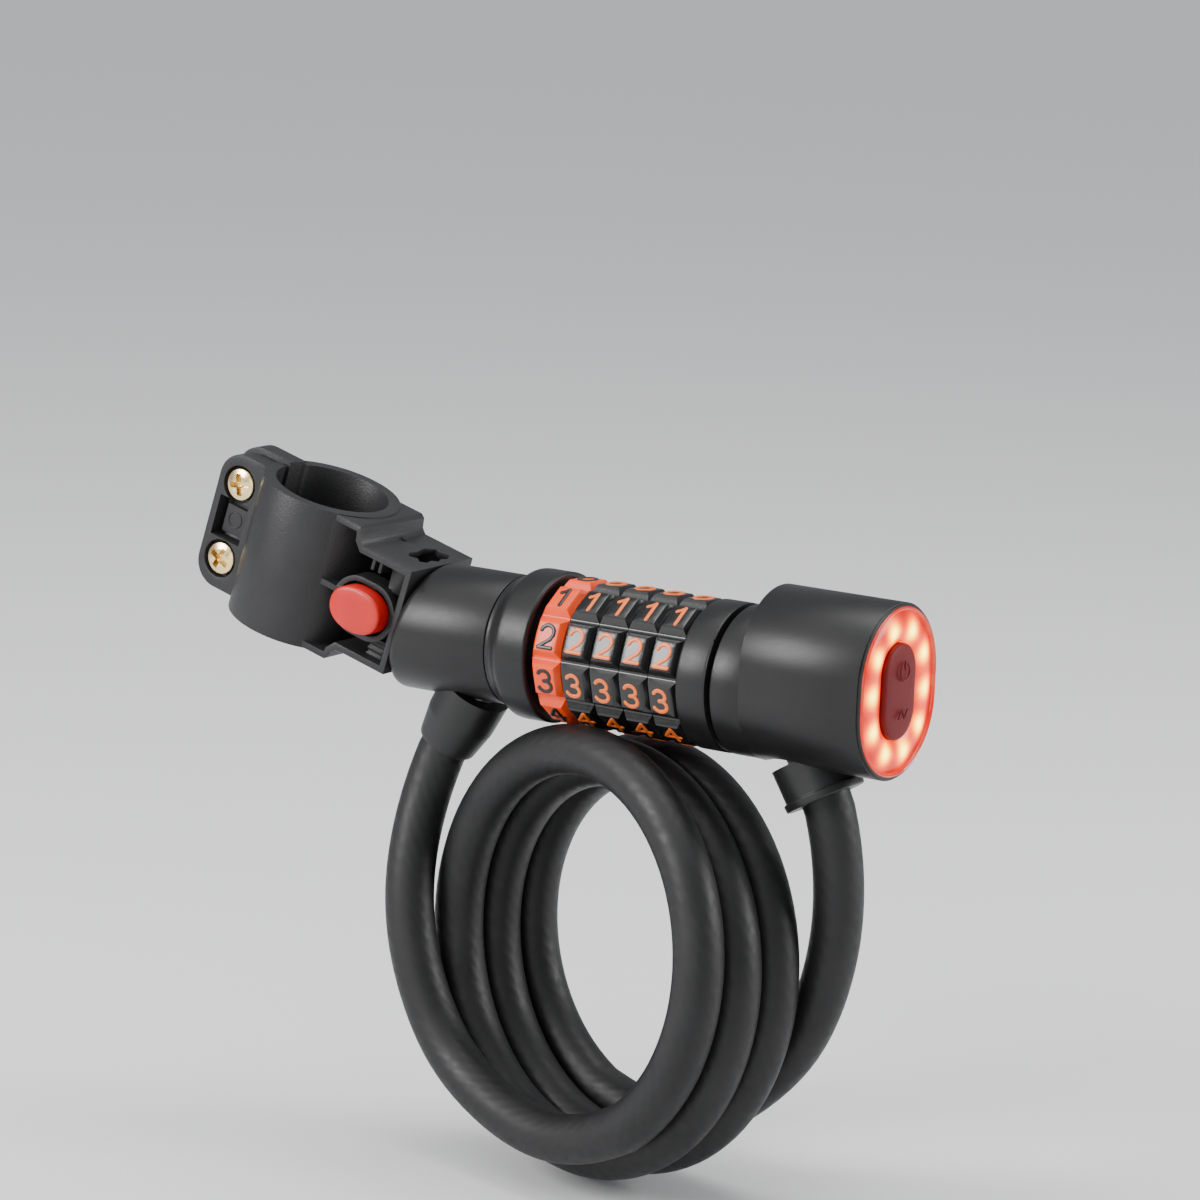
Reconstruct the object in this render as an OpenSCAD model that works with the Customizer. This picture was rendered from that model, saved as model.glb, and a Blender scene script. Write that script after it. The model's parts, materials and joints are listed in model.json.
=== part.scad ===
// Five-dial cable lock with a rear light, held on a bicycle seatpost by a quick-release clamp.
// Frame: origin on the seatpost axis at the middle of the clamp, +X along the lock towards
// its light, +Z up, -Y the side with the release button. Millimetres.

/* [Clamp and bracket] */
// Diameter of the seatpost that the clamp holds
post_d = 28.6; // [27:0.1:30]
// Lean of the seatpost from the vertical, in degrees
post_lean = 16; // [12:1:20]
// Wall of the clamp ring
ring_wall = 3; // [2.6:0.1:3.4]
// Height of the clamp ring along the seatpost
ring_h = 36; // [34:1:38]
// Width of the open bracket arm
arm_w = 25.8; // [25:0.1:27]
// Distance between the two clamp screws
screw_gap = 20; // [19:0.5:21]

/* [Lock body] */
// Height of the lock's axis over the clamp's middle
axis_z = -12.5; // [-14:0.5:-11]
// Diameter of the plain left housing
housing_d = 31.6; // [30:0.1:32.4]
// Diameter of the flared collar beside the dials
collar_d = 36.6; // [35:0.1:37.5]
// Diameter over the dial pads
dial_d = 34.6; // [33.6:0.1:35]
// Spacing of the dials
dial_pitch = 8.1; // [8:0.05:8.2]

/* [Light head] */
// Diameter of the neck and of the round ends of the head
head_d = 35.6; // [35:0.1:36]
// How far the upper round end stands above the lower one
head_rise = 5.8; // [4:0.1:7]
// Length of the light head without its neck
head_l = 32; // [30:1:34]

/* [Cable] */
// Diameter of the covered steel cable
cable_d = 12; // [11.5:0.1:12]
// Radius of the coil, to the middle of the cable
coil_r = 46; // [44:0.5:47]

/* [Hidden] */
$fn = 72;
eps = 0.01;

// clamp and bracket, in the frame of the leaning seatpost
bore_r = post_d / 2;
ring_r = bore_r + ring_wall;
ear_end = 29.2;         // far edge of the clamp ears from the seatpost axis
ear_y = 6;              // outer face of each ear
ear_gap = 1.6;          // gap between the ears
ear_round = 6.5;
screw_x = -22.8;
screw_head_r = 4.2;
screw_head_h = 2.4;
m4_r = 2.0;
arm_end = 36.3;         // outer face of the arm's end wall
arm_wall = 1.6;
plate_high = 17.7;      // upper step of the arm, level with the ring's edge
plate_low = 13.2;       // lower step of the arm
lower_drop = 0.9;       // the underside's lower step stands this much further out
step_x = 19.4;
button_x = 25.6;
button_z = -1.3;
button_r = 5.6;
button_half = 2;        // half distance between the centres of the oval button
button_face = 16.6;
button_back = 12.2;
boss_wall = 1.3;
boss_floor = 8.1;       // outer face of the boss's floor
boss_end = 6.9;
boss_hole_r = button_r + 0.45;

// spigot that plugs the lock into the arm's end wall
spigot_r = 5.5;
spigot_z = axis_z * cos(post_lean) + (arm_end + axis_z * sin(post_lean)) * tan(post_lean);
spigot_tip = 28.8;
groove_x = 32;
groove_w = 2.2;
groove_r = 4.1;
wire_r = 0.8;

// stations along the lock's axis
housing_r = housing_d / 2;
collar_r = collar_d / 2;
dial_r = dial_d / 2;
housing_end = 62;
collar_x = 66;          // the flare reaches its full radius
collar_end = 75.1;
dial_1_x = 80.3;        // middle of the first dial
ring_start = 117.0;
ring_end = 125.3;
neck_start = 126.4;
head_start = 134.4;
head_end = head_start + head_l;
head_r = head_d / 2;
upper_z = axis_z + head_rise;
shell_wall = 1.6;
key_r = 7;              // round ends of the button in the middle of the light
key_low = -13.9;
key_high = -5.1;

// lock mechanism
core_r = 9.5;
core_bore = 6.25;
pin_r = 6;
ring_bore = 9.58;
code_r = 13;
tooth_r = 11.2;
relief_r = 11.8;
tooth_w = 3.6;
slot_w = 4.2;
tooth_l = 2.5;
dial_w = dial_pitch - 0.2;
pad_root = dial_r - 1.35;
pad_half = 3.5;         // half height of a pad's flat top
pad_slope = 1.1;        // width of the slope round a pad
pad_start = 16;         // turn of the first pad from +Y about the lock's axis
boss_r = 11.3;
head_screw_y = 12.9;
head_screw_z = axis_z + 6;

// cable
cable_r = cable_d / 2;
gland_lean = 30;        // lean of both cable glands away from the vertical
left_gland = [41.8, 0, -40.6];
right_gland = [148.9, 0, -37.4];
coil_centre = [94.5, -3, -83.5];
coil_yaw = 16;
coil_turns = 4;
lead_left_points = [
    [41.8, 0, -40.6], [39.4, -1, -46], [38.2, -3.4, -54], [37.9, -6.4, -62], [38.2, -9, -71],
    [39.3, -11, -81], [42.2, -12, -92], [46.8, -12.5, -102.5], [53, -13.4, -112], [61, -15, -119]
];
lead_right_points = [
    [148.9, 0, -37.4], [150.9, 0.5, -43], [152, 1.5, -51], [152.6, 2.3, -60],
    [152.2, 2.8, -69.5], [150.6, 3.2, -79], [147.4, 4, -89], [142.4, 5, -99], [135.6, 6.5, -108.5]
];

// ---------- helpers ----------

// things drawn in the seatpost's frame
module on_post() { rotate([0, post_lean, 0]) children(); }

// a cylinder along +X at the lock's axis, from x0 to x1
module along(x0, x1, r) {
    translate([x0, 0, axis_z]) rotate([0, 90, 0]) cylinder(h = x1 - x0, r = r);
}

// a ring along +X at the lock's axis
module tube_x(x0, x1, r, bore) {
    difference() {
        along(x0, x1, r);
        along(x0 - 1, x1 + 1, bore);
    }
}

// a cylinder along +Y in the current frame
module across(x, z, y0, y1, r) {
    translate([x, y0, z]) rotate([-90, 0, 0]) cylinder(h = y1 - y0, r = r);
}

// an oval prism along +Y: two round ends joined by flats
module oval_y(x, z, half, y0, y1, r) {
    across(x - half, z, y0, y1, r);
    across(x + half, z, y0, y1, r);
    translate([x - half, y0, z - r]) cube([2 * half, y1 - y0, 2 * r]);
}

// an upright oval prism along +X, with its round ends centred at z0 and z1
module oval_x(x0, x1, z0, z1, r) {
    for (z = [z0, z1]) translate([x0, 0, z]) rotate([0, 90, 0]) cylinder(h = x1 - x0, r = r);
    translate([x0, -r, z0]) cube([x1 - x0, 2 * r, z1 - z0]);
}

// a cable gland's frame: its origin at the gland's mouth, +Z back into the lock
module at_gland(mouth, lean) { translate(mouth) rotate([0, lean, 0]) children(); }

// points of a smooth curve through a list of points, n steps to each stretch
function smooth_point(a, b, c, d, t) =
    0.5 * ((2 * b) + (c - a) * t + (2 * a - 5 * b + 4 * c - d) * t * t
    + (3 * b - a - 3 * c + d) * t * t * t);
function at_end(p, i) = i < 0 ? 2 * p[0] - p[1] : i > len(p) - 1 ? 2 * p[len(p) - 1] - p[len(p) - 2] : p[i];
function smooth_path(p, n) = concat(
    [for (i = [0 : len(p) - 2], k = [0 : n - 1])
        smooth_point(at_end(p, i - 1), p[i], p[i + 1], at_end(p, i + 2), k / n)],
    [p[len(p) - 1]]);
function unit(v) = v / norm(v);
function tangent(p, i) =
    unit(p[min(i + 1, len(p) - 1)] - p[max(i - 1, 0)]);
function side_of(t, hint) = unit(cross(hint, t));

// a round rod swept along a list of points; the first tangent may be given
module rod(path, r, sides, hint = [0, 1, 0], first = undef) {
    n = len(path);
    points = [
        for (i = [0 : n - 1])
            let (t = i == 0 && !is_undef(first) ? first : tangent(path, i), u = side_of(t, hint))
            let (v = cross(t, u))
            for (k = [0 : sides - 1])
                path[i] + r * (cos(360 * k / sides) * u + sin(360 * k / sides) * v)
    ];
    walls = [
        for (i = [0 : n - 2], k = [0 : sides - 1])
            let (a = i * sides + k, b = i * sides + (k + 1) % sides)
            each [[a, a + sides, b], [b, a + sides, b + sides]]
    ];
    start_cap = [for (k = [0 : sides - 1]) k];
    end_cap = [for (k = [sides - 1 : -1 : 0]) (n - 1) * sides + k];
    polyhedron(points = points, faces = concat([start_cap], walls, [end_cap]), convexity = 6);
}

// ---------- bracket ----------

// a clamp ear with two round corners, its top edge at the given height
module ear(y0, y1, top) {
    low = 0.4 - ring_h / 2;
    round_x = ear_round - ear_end;
    for (z = [low + ear_round, top - ear_round]) across(round_x, z, y0, y1, ear_round);
    translate([-ear_end, y0, low + ear_round]) cube([ear_round, y1 - y0, top - low - 2 * ear_round]);
    translate([round_x, y0, low]) cube([1 - bore_r - round_x, y1 - y0, top - low]);
}

// one stepped plate of the arm, above (side = 1) or below (side = -1) its middle
module arm_plate(side) {
    high = plate_high;
    low = side > 0 ? plate_low : plate_low + lower_drop;
    outline = [
        [10, high - arm_wall], [10, high], [step_x - 0.6, high], [step_x + 0.4, high - 0.8],
        [step_x + 0.8, low + 1.2], [step_x + 2, low], [arm_end, low], [arm_end, low - arm_wall],
        [step_x + 1.2, low - arm_wall], [step_x - 0.8, low + 0.6], [step_x - 1.2, high - arm_wall]
    ];
    translate([0, arm_w / 2, 0]) rotate([90, 0, 0]) linear_extrude(height = arm_w)
        polygon([for (q = outline) [q[0], side * q[1]]]);
}

module clamp_bracket() {
    half = arm_w / 2;
    color("#2b2b2d") on_post() difference() {
        union() {
            translate([0, 0, -ring_h / 2]) cylinder(h = ring_h, r = ring_r);
            ear(-ear_y, -ear_gap / 2, ring_h / 2 - 0.4);
            ear(ear_gap / 2, ear_y, ring_h / 2 + 0.8);
            arm_plate(1);
            arm_plate(-1);
            // end wall
            translate([arm_end - arm_wall, -half, -plate_low - lower_drop])
                cube([arm_wall, arm_w, 2 * plate_low + lower_drop]);
            // far web that closes the channel's back
            translate([12, half - arm_wall, -plate_low - 0.5]) cube([arm_end - 12, arm_wall, 2 * plate_low]);
            // rib at mid height and the button's boss
            translate([12, -half, -0.5]) cube([6.4, 8, 1.4]);
            oval_y(button_x, button_z, button_half, -half + 0.2, -boss_end, boss_hole_r + boss_wall);
            // ribs under the top plate, spring seat and stop block
            for (x = [24.2, 26.4]) translate([x, -half + 1, plate_low - 4.6]) cube([0.9, 5, 4]);
            translate([29.4, -half + 2.6, plate_low - 8.2]) cube([3.6, 5, 7]);
            translate([28.8, -half + 2.6, -plate_low]) cube([4.2, 4.4, 5.6]);
            for (z = [-12.4 : 1.6 : -8]) translate([28.5, -half + 2.4, z]) cube([4.6, 4.6, 0.7]);
            // small peg on the top plate
            translate([22.1, 2.9, plate_low - eps]) cylinder(h = 0.7, r = 0.8);
            // guide pads that carry the retaining clip's bow
            translate([groove_x - 2.6, -3.5, spigot_z + 8.2]) cube([5.2, 7, plate_low - spigot_z - 9.2]);
        }
        translate([0, 0, -ring_h]) cylinder(h = 2 * ring_h, r = bore_r);
        // the ring is slit between the ears
        translate([-ear_end - 1, -ear_gap / 2, -ring_h]) cube([ear_end + 1 - 8, ear_gap, 2 * ring_h]);
        for (s = [-1, 1]) {
            across(screw_x, s * screw_gap / 2, -ear_y - 1, -ear_y + screw_head_h + 0.1, screw_head_r + 0.6);
            across(screw_x, s * screw_gap / 2, -ear_y - 1, ear_y + 1, m4_r + 0.15);
            translate([screw_x, ear_y - 3.3, s * screw_gap / 2]) rotate([-90, 30, 0])
                cylinder(h = 4, r = 4.08, $fn = 6);
        }
        // window in the near ear, with a block left standing in it
        difference() {
            translate([-27.4, -ear_y - 1, -5]) cube([9, 4.6, 10.6]);
            translate([-26.4, -4, -3.6]) cube([7.4, 4, 7.2]);
        }
        translate([-27.4, -ear_y - 1, -5]) cube([1.6, 5.4, 10.6]);
        // opening for the button through its boss, and the stem's hole in the boss's floor
        oval_y(button_x, button_z, button_half, -half - 1, -boss_floor, boss_hole_r);
        translate([button_x - 5.2, -12, button_z - 3.2]) cube([5.6, 6.5, 6.4]);
        // socket for the spigot in the end wall
        translate([arm_end - 3, 0, spigot_z]) rotate([0, 90, 0]) cylinder(h = 4, r = spigot_r + 0.25);
        // clip slot in the guide pad
        translate([groove_x - wire_r - 0.2, -6, spigot_z + 6]) cube([2 * wire_r + 0.4, 12, 4.4]);
        // hole in the top plate, with uneven edges
        translate([0, 0, plate_low - 2 * arm_wall]) linear_extrude(height = 3 * arm_wall) polygon([
            [27.4, 4.4], [28.2, 0.4], [27.8, -2.6], [29.2, -4.6], [31.2, -3.4], [32.6, -4.8], [33.8, -3.2],
            [33.4, -0.8], [34.4, 0.8], [33.6, 3], [34.2, 5], [32.8, 7.8], [30.6, 6.6], [29, 7.2]
        ]);
    }
}

module clamp_screws() {
    color("#d9b45b") on_post() for (s = [-1, 1]) translate([screw_x, 0, s * screw_gap / 2]) {
        difference() {
            union() {
                across(0, 0, -ear_y + 0.1, -ear_y + 0.1 + screw_head_h, screw_head_r);
                across(0, 0, -ear_y + screw_head_h, ear_y + 0.4, m4_r);
            }
            // cross recess
            for (a = [s * 20, s * 20 + 90]) rotate([0, a, 0])
                translate([-2.3, -ear_y - 1, -0.5]) cube([4.6, 2.6, 1]);
        }
    }
}

module clamp_nuts() {
    color("#b9bcc0") on_post() for (s = [-1, 1])
        translate([screw_x, ear_y - 3.2, s * screw_gap / 2]) rotate([-90, 30, 0]) difference() {
            cylinder(h = 3.1, r = 4.0, $fn = 6);
            translate([0, 0, -1]) cylinder(h = 6, r = m4_r + 0.02);
        }
}

// spring-wire hairpin whose two legs lie in the spigot's groove
module retaining_clip() {
    leg_y = groove_r + wire_r + 0.1;
    top = spigot_z + 7.6;
    legs = [
        [groove_x, -leg_y, spigot_z - 6.5], [groove_x, -leg_y, spigot_z], [groove_x, -leg_y, top - 2],
        [groove_x, -leg_y + 1.2, top - 0.5], [groove_x, -leg_y + 2.8, top], [groove_x, 0, top],
        [groove_x, leg_y - 2.8, top], [groove_x, leg_y - 1.2, top - 0.5], [groove_x, leg_y, top - 2],
        [groove_x, leg_y, spigot_z], [groove_x, leg_y, spigot_z - 6.5]
    ];
    color("#c9ccd1") on_post() rod(legs, wire_r, 8, [1, 0, 0]);
}

// helix along +Y
function helix_y(x, z, y0, y1, r, turns, n) = [
    for (i = [0 : n])
        let (a = 360 * turns * i / n)
        [x + r * cos(a), y0 + (y1 - y0) * i / n, z + r * sin(a)]
];

module button_spring() {
    path = helix_y(button_x + 3.4, button_z, -button_back + 0.2, -boss_floor - 0.2, 2.2, 3, 42);
    color("#c9ccd1") on_post() rod(path, 0.18, 6, [0, 1, 0.001]);
}

module release_button() {
    color("#d5402f") on_post() {
        oval_y(button_x, button_z, button_half, -button_face, -button_back, button_r);
        translate([button_x - 4.8, -button_back - 0.1, button_z - 2.8]) cube([4.8, 6.1, 5.6]);
    }
}

// ---------- lock body ----------

// everything on the lock's side of the arm's end wall
module beyond_wall(gap) {
    on_post() translate([arm_end + gap, -60, -60]) cube([120, 120, 120]);
}

module left_housing() {
    color("#1d1d1f") difference() {
        intersection() {
            along(20, housing_end, housing_r);
            beyond_wall(0.15);
        }
        // hollow for the cable's end and the core's fixing
        intersection() {
            along(30, housing_end + 1, housing_r - 2.6);
            beyond_wall(4.2);
        }
        at_gland(left_gland, gland_lean) translate([0, 0, 4]) cylinder(h = 16, r = 8.7);
        on_spigot(arm_end - 1) cylinder(h = 8, r = spigot_r - 0.9);
        on_spigot(arm_end - 1) cylinder(h = 2.65, r = spigot_r + 1.7);
    }
}

// the spigot's own frame, +Z along it away from the seatpost, starting at a given distance from it
module on_spigot(x) { on_post() translate([x, 0, spigot_z]) rotate([0, 90, 0]) children(); }

module mounting_spigot() {
    groove_0 = groove_x - groove_w / 2;
    groove_1 = groove_x + groove_w / 2;
    color("#8d9095") difference() {
        union() {
            on_spigot(spigot_tip) cylinder(h = 1.4, r1 = groove_r, r2 = spigot_r);
            on_spigot(spigot_tip + 1.4) cylinder(h = groove_0 - spigot_tip - 1.4, r = spigot_r);
            on_spigot(groove_0 - eps) cylinder(h = groove_w + 2 * eps, r = groove_r);
            on_spigot(groove_1) cylinder(h = arm_end + 1.6 - groove_1, r = spigot_r);
            on_spigot(arm_end + 0.2) cylinder(h = 1.4, r = spigot_r + 1.6);
        }
        on_spigot(arm_end - 6) cylinder(h = 10, r = 1.55);
    }
}

module spigot_screw() {
    color("#b9bcc0") {
        on_spigot(arm_end - 5) cylinder(h = 9.3, r = 1.5);
        on_spigot(arm_end + 4.25) cylinder(h = 2, r = 2.9);
    }
}

module dial_collar() {
    lip_r = housing_r - 2.65;
    color("#1d1d1f") translate([0, 0, axis_z]) rotate([0, 90, 0]) rotate_extrude() polygon([
        [core_r + 0.05, housing_end + 3.2], [lip_r - 1.55, housing_end + 3.2],
        [lip_r - 1.55, housing_end - 3], [lip_r, housing_end - 3], [lip_r, housing_end + 0.3],
        [housing_r, housing_end + 0.3], [housing_r + 0.5, housing_end + 1],
        [collar_r - 1.2, collar_x - 1.6], [collar_r - 0.25, collar_x - 0.4], [collar_r, collar_x + 0.8],
        [collar_r, collar_end - 0.5], [collar_r - 0.5, collar_end], [collar_r - 1.4, collar_end],
        [collar_r - 1.4, collar_end - 1.2], [core_r + 0.05, collar_end - 1.2]
    ]);
}

module core_sleeve() {
    color("#a7abb0") difference() {
        union() {
            tube_x(57, 124.6, core_r, core_bore);
            tube_x(63.2, 65.2 - eps, core_r + 1.6, core_bore);
        }
        // lengthwise slot that the plug's teeth pass through
        translate([75.2, -slot_w / 2, axis_z - core_r - 1]) cube([60, slot_w, core_r]);
        // pockets for the detent balls and their springs
        for (k = [0 : 4]) translate([dial_1_x + k * dial_pitch + 1.5, 0, axis_z + core_bore + 0.7])
            cylinder(h = 6, r = 1.06);
    }
}

module core_nut() {
    color("#b9bcc0") difference() {
        translate([57.6, 0, axis_z]) rotate([0, 90, 0]) cylinder(h = 5, r = 11.3, $fn = 6);
        along(50, 70, core_r + 0.02);
    }
}

module detent_balls() {
    color("#d8dade") for (k = [0 : 4])
        translate([dial_1_x + k * dial_pitch + 1.5, 0, axis_z + core_r - 1.0]) sphere(r = 1, $fn = 32);
}

module detent_springs() {
    color("#c9ccd1") for (k = [0 : 4]) {
        x = dial_1_x + k * dial_pitch + 1.5;
        z0 = axis_z + core_bore + 0.85;
        path = [for (i = [0 : 14]) [x + 0.7 * cos(i * 51.4), 0.7 * sin(i * 51.4), z0 + 0.5 * i / 14]];
        rod(path, 0.13, 6, [0, 0.001, 1]);
    }
}

module right_end_ring() {
    color("#1d1d1f") difference() {
        translate([0, 0, axis_z]) rotate([0, 90, 0]) rotate_extrude() polygon([
            [core_r + 0.02, ring_start], [head_r - 0.6, ring_start], [head_r, ring_start + 0.6],
            [head_r, ring_end - 0.4], [head_r - 0.4, ring_end], [core_r + 0.02, ring_end]
        ]);
        translate([ring_start - 1, -slot_w / 2, axis_z - relief_r]) cube([20, slot_w, relief_r]);
    }
}

// ---------- dials ----------

// outline across a dial's width: full width at the root, sloping in to the pads' tops
module dial_profile(x) {
    half = dial_w / 2;
    translate([0, 0, axis_z]) rotate([0, 90, 0]) rotate_extrude() polygon([
        [code_r, x - half], [pad_root, x - half], [dial_r + 0.1, x - half + pad_slope],
        [dial_r + 0.1, x + half - pad_slope], [pad_root, x + half], [code_r, x + half]
    ]);
}

// one dial: ten raised pads, sloped on all four sides, round a ring
module dial_ring(k) {
    x = dial_1_x + k * dial_pitch;
    intersection() {
        dial_profile(x);
        union() {
            along(x - dial_w, x + dial_w, pad_root);
            for (i = [0 : 9]) translate([x, 0, axis_z]) rotate([pad_start + 36 * i, 0, 0])
                translate([-dial_w / 2, 0, 0]) rotate([90, 0, 90]) linear_extrude(height = dial_w)
                    polygon([
                        [pad_root - 1, -pad_half - pad_slope], [pad_root - 0.2, -pad_half - pad_slope],
                        [dial_r, -pad_half], [dial_r, pad_half],
                        [pad_root - 0.2, pad_half + pad_slope], [pad_root - 1, pad_half + pad_slope]
                    ]);
        }
    }
}

// the inner ring that a dial turns: relief beside it for the tooth, and a notch that lets it pass
module code_ring(k) {
    x = dial_1_x + k * dial_pitch;
    step = x - 0.9;
    color("#caa24a") difference() {
        tube_x(x - dial_w / 2 + 0.1, x + dial_w / 2 - 0.1, code_r - 0.01, ring_bore);
        along(x - dial_w, step, relief_r);
        translate([x - dial_w, -slot_w / 2 - 0.2, axis_z - relief_r])
            cube([2 * dial_w, slot_w + 0.4, relief_r]);
    }
}

module orange_dial() { color("#e9622a") dial_ring(0); }
module black_dial(k) { color("#17171a") dial_ring(k); }

// ---------- plug and light head ----------

module plug_pin() {
    color("#c4c7cb") {
        along(76.6, 140, pin_r);
        translate([75, 0, axis_z]) rotate([0, 90, 0]) cylinder(h = 1.6, r1 = pin_r - 1.6, r2 = pin_r);
        for (k = [0 : 4]) translate([dial_1_x + k * dial_pitch - 3.7, -tooth_w / 2, axis_z - tooth_r])
            cube([tooth_l, tooth_w, tooth_r - 3]);
    }
}

module plug_holder() {
    color("#232325") difference() {
        union() {
            translate([0, 0, axis_z]) rotate([0, 90, 0]) rotate_extrude() polygon([
                [0, neck_start], [head_r - 0.5, neck_start], [head_r - 0.02, neck_start + 0.5],
                [head_r - 0.02, head_start], [0, head_start]
            ]);
            along(head_start - 1, 151, boss_r);
        }
        along(neck_start - 1, 140.2, pin_r + 0.01);
        at_gland(right_gland, -gland_lean) translate([0, 0, 10.4]) cylinder(h = 7.3, r = 5.3);
        at_gland(right_gland, -gland_lean) cylinder(h = 12, r = 9.4);
        for (s = [-1, 1]) translate([head_start - 4, s * head_screw_y, head_screw_z]) rotate([0, 90, 0])
            cylinder(h = 5, r = 1.05);
    }
}

module head_shell() {
    low = axis_z;
    r = head_r + 0.1;
    inner = r - shell_wall;
    color("#1b1b1d") difference() {
        union() {
            oval_x(head_start, head_end - 0.6, low, upper_z, r);
            oval_x(head_end - 0.6 - eps, head_end, low, upper_z, r - 0.45);
        }
        oval_x(head_start + 2, head_end + 1, low, upper_z, inner);
        along(head_start - 1, head_start + 3, boss_r + 0.05);
        for (s = [-1, 1]) translate([head_start - 1, s * head_screw_y, head_screw_z]) rotate([0, 90, 0])
            cylinder(h = 4, r = 1.3);
        at_gland(right_gland, -gland_lean) {
            translate([0, 0, -4]) cylinder(h = 18, r = 9.42);
            cylinder(h = 18, r = 5.3);
        }
        // charging port and the pocket that its cover closes
        translate([144, 10, -11.2]) cube([9.4, 12, 3.9]);
        translate([140.6, r - 1.25, -12.3]) cube([16, 3, 5.6]);
    }
}

module head_screws() {
    color("#b9bcc0") for (s = [-1, 1])
        translate([head_start - 3.8, s * head_screw_y, head_screw_z]) rotate([0, 90, 0]) {
            cylinder(h = 5.9, r = 1);
            translate([0, 0, 5.85]) cylinder(h = 1.4, r = 1.9);
        }
}

module led_outline(x0, x1, r) { oval_x(x0, x1, axis_z, upper_z, r); }

module led_board() {
    color("#e8e8e4") difference() {
        led_outline(159.2, 160.4, head_r - 1.8);
        translate([158, 12, -11]) cube([4, 4, 6]);
    }
}

// ten chips round the board, under the middle of the lens ring
module leds() {
    ring = 12.2;
    color("#ffd9b8") for (k = [0 : 9]) {
        a = 18 + 36 * k;
        z_mid = sin(a) > 0 ? upper_z : axis_z;
        translate([160.4, ring * cos(a) - 1.4, z_mid + ring * sin(a) - 1.4]) cube([1, 2.8, 2.8]);
    }
}

module tact_switch() {
    color("#3a3a3d") {
        translate([160.4, -3, (axis_z + upper_z) / 2 - 3]) cube([1.6, 6, 6]);
        translate([162 - eps, 0, (axis_z + upper_z) / 2]) rotate([0, 90, 0]) cylinder(h = 0.5, r = 1.6);
    }
}

module lens_ring() {
    color("#ff3b30") difference() {
        union() {
            led_outline(162.4, head_end - 0.2, head_r - 1.55);
            led_outline(head_end - 0.2 - eps, head_end + 0.5, head_r - 2.1);
        }
        oval_x(161, 170, key_low, key_high, key_r + 0.3);
    }
}

module power_button() {
    color("#5a1216") {
        oval_x(164.2, 168.0, key_low, key_high, key_r);
        oval_x(163.3, 164.2 + eps, key_low, key_high, key_r - 0.8);
    }
}

module battery() {
    color("#9aa3ad") translate([138.6, -10, -0.7]) cube([18.6, 20, 5.6]);
}

module driver_board() {
    color("#1f6b3a") translate([138.6, 11.9, -11.8]) cube([18.6, 1, 12.6]);
}

module usb_socket() {
    color("#b9bcc0") difference() {
        translate([144.2, 12.9, -11]) cube([9, 3.3, 3.5]);
        translate([144.9, 13.6, -10.4]) cube([7.6, 3.3, 2.3]);
    }
}

module port_cover() {
    color("#202022") {
        translate([141.0, head_r - 1.0, -12.1]) cube([15.2, 1.0, 5.2]);
        translate([141.4, head_r - 0.5, -12.1]) cylinder(h = 5.2, r = 0.5);
    }
}

// ---------- cable ----------

module left_cable_collar() {
    color("#1b1b1d") at_gland(left_gland, gland_lean) difference() {
        union() {
            cylinder(h = 0.8, r1 = 7.0, r2 = 7.4);
            translate([0, 0, 0.8 - eps]) cylinder(h = 7, r1 = 7.4, r2 = 8.6);
            translate([0, 0, 7.8 - 2 * eps]) cylinder(h = 9, r = 8.6);
        }
        translate([0, 0, 6]) cylinder(h = 20, r = 5.25);
        // the collar stops inside the housing's hollow
        translate([-20, -20, 17]) cube([40, 40, 10]);
    }
}

module left_ferrule() {
    color("#b9bcc0") at_gland(left_gland, gland_lean) {
        translate([0, 0, 6]) cylinder(h = 13.9, r = 5.2);
        translate([0, 0, 19.9 - eps]) cylinder(h = 2, r = 3);
    }
}

module right_cable_collar() {
    color("#1b1b1d") at_gland(right_gland, -gland_lean) difference() {
        union() {
            cylinder(h = 1.8, r = 9.6);
            translate([0, 0, 1.8 - eps]) cylinder(h = 8.4, r = 9.3);
        }
        translate([0, 0, 6]) cylinder(h = 20, r = 5.25);
    }
}

module right_ferrule() {
    color("#b9bcc0") at_gland(right_gland, -gland_lean) translate([0, 0, 6]) cylinder(h = 11.4, r = 5.2);
}

function gland_axis(lean) = [-sin(lean), 0, -cos(lean)];

module cable_lead_left() {
    color("#161618") rod(smooth_path(lead_left_points, 4), cable_r, 10, [0, 1, 0], gland_axis(gland_lean));
}

module cable_lead_right() {
    color("#161618") rod(smooth_path(lead_right_points, 4), cable_r, 10, [0, 1, 0], gland_axis(-gland_lean));
}

// outer shape of the wound turns: a flat ring, turned about the vertical
module cable_coil() {
    depth = coil_turns * cable_d;
    color("#161618") translate(coil_centre) rotate([0, 0, -coil_yaw]) rotate([90, 0, 0])
        rotate_extrude() translate([coil_r - cable_r, -depth / 2]) square([2 * cable_r, depth]);
}

clamp_bracket();
clamp_screws();
clamp_nuts();
retaining_clip();
button_spring();
release_button();
left_housing();
mounting_spigot();
spigot_screw();
dial_collar();
core_sleeve();
core_nut();
detent_balls();
detent_springs();
right_end_ring();
left_cable_collar();
left_ferrule();
cable_lead_left();
cable_coil();
cable_lead_right();
orange_dial();  // dial_1
black_dial(1);  // dial_2
black_dial(2);  // dial_3
black_dial(3);  // dial_4
black_dial(4);  // dial_5
code_ring(0);  // code_ring_1
code_ring(1);  // code_ring_2
code_ring(2);  // code_ring_3
code_ring(3);  // code_ring_4
code_ring(4);  // code_ring_5
plug_pin();
plug_holder();
head_shell();
right_cable_collar();
right_ferrule();
head_screws();
lens_ring();
led_board();
leds();
tact_switch();
battery();
driver_board();
usb_socket();
power_button();
port_cover();
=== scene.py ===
import json
import math

import bmesh
import bpy
from mathutils import Matrix, Vector


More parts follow.
